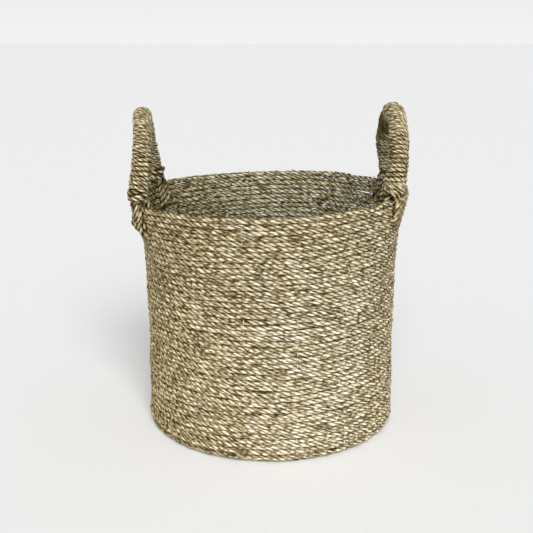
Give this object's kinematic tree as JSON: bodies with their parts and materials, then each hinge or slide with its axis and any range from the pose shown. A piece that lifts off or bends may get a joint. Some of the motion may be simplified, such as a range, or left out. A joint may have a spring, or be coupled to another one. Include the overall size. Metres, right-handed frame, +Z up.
{
  "type": "seagrass storage basket",
  "caption": "Round open storage basket coiled from twisted seagrass rope, with upright wound rope handles hinged at the rim.",
  "frame": {"origin": "centre of the base's underside, on the floor", "axes": "+Z up along the basket's axis and through its open top; X through the two handles, left handle at -X; -Y towards the viewer"},
  "size_m": [0.346, 0.334, 0.4061],
  "materials": {
    "rope": "dry twisted seagrass, matte, greenish tan with cream and brown blades",
    "rim_rope": "dry twisted seagrass, matte, slightly paler",
    "handle_wrap": "finer twisted seagrass cord, wound close, faint sheen",
    "handle_cord": "twisted seagrass cord, matte, browner",
    "binding_thread": "thin twisted plant fibre, matte"
  },
  "bodies": {
    "basket": {"base_coil": "rope", "wall_coil": "rope", "rim_coil": "rim_rope", "binding_thread_01": "binding_thread", "binding_thread_02": "binding_thread", "binding_thread_03": "binding_thread", "binding_thread_04": "binding_thread", "binding_thread_05": "binding_thread", "binding_thread_06": "binding_thread", "binding_thread_07": "binding_thread", "binding_thread_08": "binding_thread", "binding_thread_09": "binding_thread", "binding_thread_10": "binding_thread", "binding_thread_11": "binding_thread", "binding_thread_12": "binding_thread", "binding_thread_13": "binding_thread", "binding_thread_14": "binding_thread", "binding_thread_15": "binding_thread", "binding_thread_16": "binding_thread", "left_front_anchor_cord_1": "handle_cord", "left_front_anchor_cord_2": "handle_cord", "left_front_anchor_cord_3": "handle_cord", "left_back_anchor_cord_1": "handle_cord", "left_back_anchor_cord_2": "handle_cord", "left_back_anchor_cord_3": "handle_cord", "right_front_anchor_cord_1": "handle_cord", "right_front_anchor_cord_2": "handle_cord", "right_front_anchor_cord_3": "handle_cord", "right_back_anchor_cord_1": "handle_cord", "right_back_anchor_cord_2": "handle_cord", "right_back_anchor_cord_3": "handle_cord"},
    "left_handle": {"left_handle_core": "handle_cord", "left_handle_wrap": "handle_wrap", "left_front_wrap_hitch": "handle_wrap", "left_back_wrap_hitch": "handle_wrap"},
    "right_handle": {"right_handle_core": "handle_cord", "right_handle_wrap": "handle_wrap", "right_front_wrap_hitch": "handle_wrap", "right_back_wrap_hitch": "handle_wrap"}
  },
  "joints": [
    {"name": "left_handle_tilt", "type": "hinge", "parent": "basket", "child": "left_handle", "pos_m": [-0.15141, 0, 0.2967], "axis": [0, -1, 0], "range_deg": [-35, 60]},
    {"name": "right_handle_tilt", "type": "hinge", "parent": "basket", "child": "right_handle", "pos_m": [0.15141, 0, 0.2967], "axis": [0, 1, 0], "range_deg": [-35, 60]}
  ]
}
